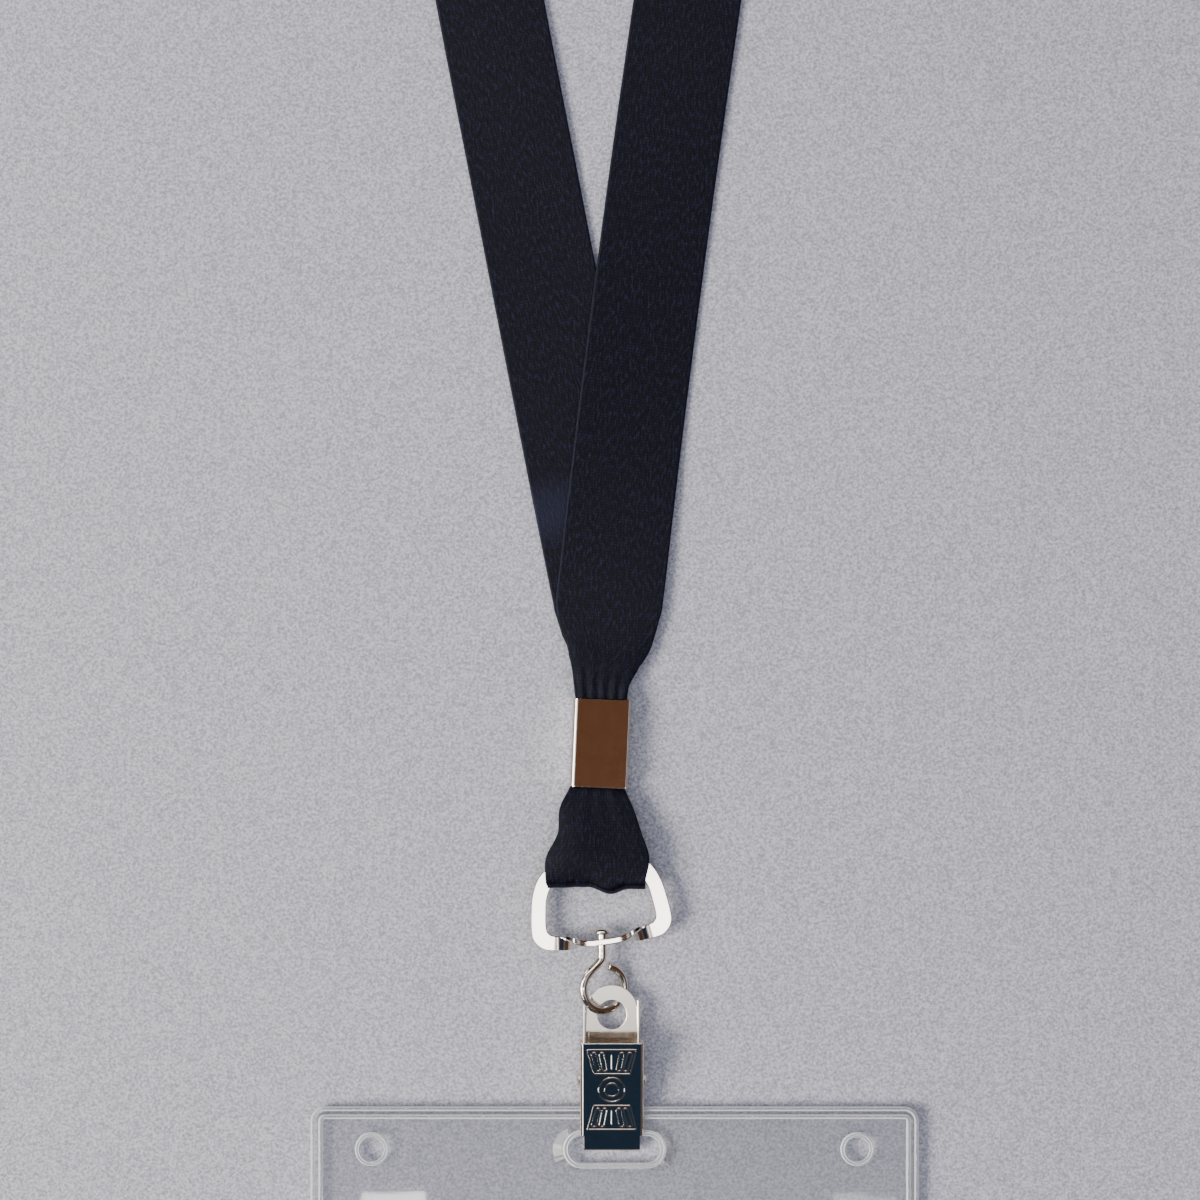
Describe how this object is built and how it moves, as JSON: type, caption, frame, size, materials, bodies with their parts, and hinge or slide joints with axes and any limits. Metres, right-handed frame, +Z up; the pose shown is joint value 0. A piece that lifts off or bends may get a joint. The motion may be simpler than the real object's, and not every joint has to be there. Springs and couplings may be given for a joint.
{
  "type": "lanyard badge holder",
  "caption": "Flat ribbon neck lanyard with a crimped sleeve, D-loop, swivel eye and spring clip gripping a clear welded pocket for an identity card.",
  "frame": {"origin": "on the surface that the part lies on, under the middle of the box round the pocket and the metal hardware (the ribbon loop not counted)", "axes": "+Z up out of the surface, +Y from the card pocket towards the ribbon loop, +X to the right as seen from the front"},
  "size_m": [0.108, 0.5754, 0.019],
  "materials": {
    "ribbon": "black satin-woven polyester ribbon with a soft sheen",
    "nickel": "bright nickel plate on stamped steel, faint stamping marks",
    "spring_steel": "drawn spring wire, plated",
    "clear_vinyl": "clear flexible PVC sheet, smooth and glossy",
    "vinyl_weld": "clear PVC weld bead with a rounded glossy edge"
  },
  "bodies": {
    "strap": {"neck_strap": "ribbon", "strap_wrap": "ribbon", "crimp_sleeve": "nickel"},
    "d_loop": {"d_loop": "nickel"},
    "swivel": {"swivel_eye": "nickel"},
    "clip": {"clip_rear_lever": "nickel", "clip_pivot_pin": "nickel", "clip_spring": "spring_steel"},
    "jaw": {"clip_front_jaw": "nickel"},
    "holder": {"holder_back_sheet": "clear_vinyl", "holder_header_front": "clear_vinyl", "holder_pocket_front": "clear_vinyl", "holder_border_weld": "vinyl_weld", "holder_slot_weld": "vinyl_weld", "holder_hole_weld_left": "vinyl_weld", "holder_hole_weld_right": "vinyl_weld"}
  },
  "joints": [
    {"name": "loop_swing", "type": "hinge", "parent": "strap", "child": "d_loop", "pos_m": [-0.00366, 0.05378, 0.00322], "axis": [0.9914, 0.1305, 0], "range_deg": [-75, 75]},
    {"name": "eye_swivel", "type": "hinge", "parent": "d_loop", "child": "swivel", "pos_m": [-0.0023, 0.04074, 0.00322], "axis": [0, -1, 0], "continuous": true},
    {"name": "clip_swing", "type": "hinge", "parent": "swivel", "child": "clip", "pos_m": [-0.0006, 0.02994, 0.0029], "axis": [1, 0, 0], "range_deg": [-10, 80]},
    {"name": "jaw_open", "type": "hinge", "parent": "clip", "child": "jaw", "pos_m": [-0.0005, 0.01633, 0.00346], "axis": [-1, 0, 0], "range_deg": [0, 20], "stiffness_Nm_per_rad": 0.1, "springref_deg": -1.15, "deforming": ["clip_spring"]},
    {"name": "holder_tilt", "type": "hinge", "parent": "clip", "child": "holder", "pos_m": [0, 0.00604, 0.00158], "axis": [1, 0, 0], "range_deg": [-2, 6]}
  ]
}
